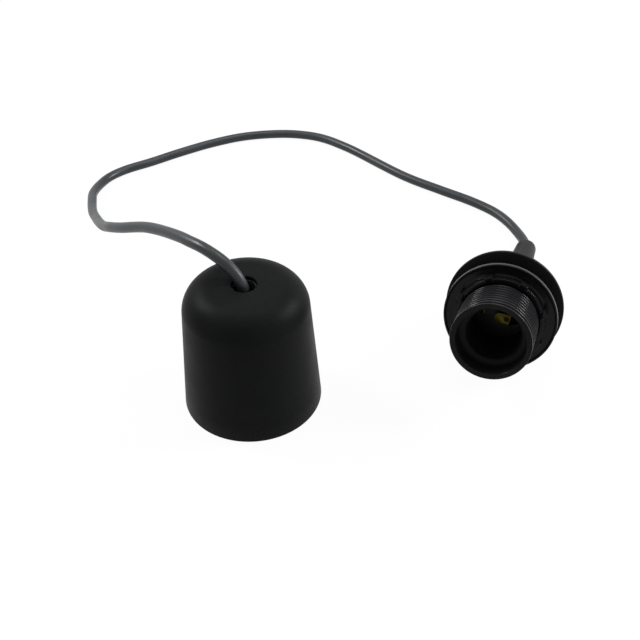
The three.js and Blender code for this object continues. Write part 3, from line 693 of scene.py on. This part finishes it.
def buildRing():
    lipInside = ring["radius"] - ring["lip"]
    dish = ring["back"] + ring["web"]
    fillet = ring["fillet"]
    hub = ring["hubRadius"]
    lugInner = ring["bore"] + ring["lugInset"]
    points = [(ring["bore"], ring["back"]), (ring["radius"], ring["back"])]
    points += [(ring["radius"], ring["front"]), (lipInside, ring["front"])]
    points += [(lipInside, dish + fillet / 2), (lipInside - fillet / 2, dish)]
    points += straight(points[-1], (hub + fillet, dish), 3)
    points += arcOf((hub + fillet, dish + fillet), fillet, -90, -180, 3)[1:]
    points += [(hub, dish + (ring["hubFront"] - dish) * ring["hubRing"]), (hub, ring["hubFront"])]
    points += [(lugInner, ring["hubFront"]), (ring["bore"], ring["hubFront"])]
    halfLug = ring["lugSteps"] * 180 / ring["sides"]
    piece = latheProfile("shadeRing", points, ring["sides"], ring["firstLug"] - halfLug)
    top, near = ring["hubFront"], ring["near"]
    facesWhere(piece, lambda r, a, z: z > top - near and lugInner < r < hub and atLug(a))
    bpy.ops.mesh.extrude_region_move(
        TRANSFORM_OT_translate={"value": (0, 0, ring["lugRise"] * mm)}
    )
    facesWhere(piece, lambda r, a, z: z > dish + fillet and abs(r - hub) < near and atLug(a))
    grow = 1 + ring["lugReach"] / hub
    bpy.ops.mesh.extrude_region_move()
    bpy.ops.transform.resize(value=(grow, grow, 1), center_override=(0, 0, 0))
    bpy.ops.object.mode_set(mode="OBJECT")
    bevelEdges(piece, 0.22, 3, 40)
    smoothShade(piece, 35)
    seat(piece, holderPlace)
    return piece


ringPiece = buildRing()
show(ringPiece, holderPlastic, "holder_plastic", "shade_ring")
print("shade ring made")


# Small pieces keep the form of their solids: a merged copy with softened edges
def softenedCopy(node, name, width, segments=2):
    clearSelection()
    piece = frame["nodes"][node].copy()
    piece.data = frame["nodes"][node].data.copy()
    piece.name = name
    piece.data.name = name
    bpy.context.scene.collection.objects.link(piece)
    for key in list(piece.keys()):
        del piece[key]
    piece.parent = None
    piece.matrix_world = Matrix.Identity(4)
    pick(piece)
    bpy.ops.object.mode_set(mode="EDIT")
    bpy.ops.mesh.select_all(action="SELECT")
    bpy.ops.mesh.remove_doubles(threshold=mergeDistance)
    bpy.ops.mesh.dissolve_limited(angle_limit=math.radians(1))
    bpy.ops.object.mode_set(mode="OBJECT")
    bevelEdges(piece, width, segments)
    smoothShade(piece)
    return piece


softened = [
    ("jaw_front", "clampJawFront", 0.15, clampPlastic, "clamp_plastic"),
    ("jaw_rear", "clampJawRear", 0.15, clampPlastic, "clamp_plastic"),
    # the contact tongues get the darkened brass: painted shade
    ("centre_contact", "centreTongue", 0.12, paintedShadeBrass, "brass"),
    ("side_contact", "sideTongue", 0.12, paintedShadeBrass, "brass"),
    ("contact_block", "contactBlock", 0.2, contactPlastic, "contact_plastic"),
    ("hanger_strap", "hangerStrap", 0.2, zincSteel, "steel"),
]
for node, name, width, material, slot in softened:
    show(softenedCopy(node, name, width), material, slot, node)
print("small pieces softened")

# The solids that stay get their finish
nodeFinishes = {
    "saddle_bar": contactPlastic, "terminal_block": palePlastic,
    "centre_terminal": terminalBrass, "side_terminal": terminalBrass,
}
nodeStarts = [
    ("terminal_tube", terminalBrass), ("jaw_screw", zincSteel), ("hanger_screw", zincSteel),
    ("terminal_screw", zincSteel), ("saddle_screw", zincSteel),
    ("centre_terminal_screw", zincSteel), ("side_terminal_screw", zincSteel),
    ("canopy_core_live", brownCore), ("holder_core_live", brownCore),
    ("canopy_core_neutral", blueCore), ("holder_core_neutral", blueCore),
]
for name, node in frame["nodes"].items():
    finish = nodeFinishes.get(name)
    for start, material in nodeStarts:
        if name.startswith(start):
            finish = material
    if finish:
        node.data.materials.clear()
        node.data.materials.append(finish)
print("solids finished")

# Floor and light
stage = {
    "floorSize": 12, "floorColour": (0.9, 0.9, 0.9),
    "ownShare": 0.05,          # how much of its own shading the floor shows, with the shadows
    "worldStrength": 0.32,
    "aim": (0.05, 0.05, 0.03),  # metres from the canopy's axis, where the lamps point
}
lamps = [
    # name, place from the canopy's axis, size, watts
    ("leftLamp", (-0.76, 0.48, 0.85), 0.4, 10),
    ("rightLamp", (1.05, 0.2, 0.66), 0.4, 14),
    ("topLamp", (0.2, 0.35, 1.35), 0.7, 6),
]


def seenWhite(tree):
    # 1 for the rays that see plain white: straight from the camera, mirrored or let through
    rays = tree.nodes.new("ShaderNodeLightPath")
    camera, glossy = rays.outputs["Is Camera Ray"], rays.outputs["Is Glossy Ray"]
    seen = addMath(tree, "MAXIMUM", camera, glossy, (-400, 300))
    return addMath(tree, "MAXIMUM", seen, rays.outputs["Is Transmission Ray"], (-200, 300))


def addFloor():
    clearSelection()
    bpy.ops.mesh.primitive_plane_add(size=stage["floorSize"])
    floor = bpy.context.object
    floor.name = "floor"
    material = bpy.data.materials.new("floorWhite")
    material.use_nodes = True
    tree = material.node_tree
    shader = tree.nodes["Principled BSDF"]
    shader.inputs["Base Color"].default_value = (*stage["floorColour"], 1)
    shader.inputs["Roughness"].default_value = 0.9
    shader.inputs["Specular IOR Level"].default_value = 0
    white = tree.nodes.new("ShaderNodeEmission")
    share = addMath(tree, "MULTIPLY", seenWhite(tree), 1 - stage["ownShare"], (0, 300))
    mix = tree.nodes.new("ShaderNodeMixShader")
    tree.links.new(share, mix.inputs["Fac"])
    tree.links.new(shader.outputs["BSDF"], mix.inputs[1])
    tree.links.new(white.outputs["Emission"], mix.inputs[2])
    tree.links.new(mix.outputs["Shader"], tree.nodes["Material Output"].inputs["Surface"])
    floor.data.materials.append(material)


def addWorld():
    world = bpy.data.worlds.new("studio")
    bpy.context.scene.world = world
    world.use_nodes = True
    tree = world.node_tree
    light = tree.nodes["Background"]
    light.inputs["Color"].default_value = (1, 1, 1, 1)
    light.inputs["Strength"].default_value = stage["worldStrength"]
    white = tree.nodes.new("ShaderNodeBackground")
    white.inputs["Color"].default_value = (1, 1, 1, 1)
    white.inputs["Strength"].default_value = 1
    mix = tree.nodes.new("ShaderNodeMixShader")
    tree.links.new(seenWhite(tree), mix.inputs["Fac"])
    tree.links.new(light.outputs["Background"], mix.inputs[1])
    tree.links.new(white.outputs["Background"], mix.inputs[2])
    tree.links.new(mix.outputs["Shader"], tree.nodes["World Output"].inputs["Surface"])


def addLamps():
    for name, place, size, watts in lamps:
        clearSelection()
        spot = canopyAxis + Vector(place)
        bpy.ops.object.light_add(type="AREA", location=spot)
        lamp = bpy.context.object
        lamp.name = name
        aim = spot - (canopyAxis + Vector(stage["aim"]))
        lamp.rotation_euler = aim.to_track_quat("Z", "Y").to_euler()
        lamp.data.shape = "DISK"
        lamp.data.size = size
        lamp.data.energy = watts


addFloor()
addWorld()
addLamps()
bpy.context.scene.view_settings.view_transform = "Standard"
print("stage lit")
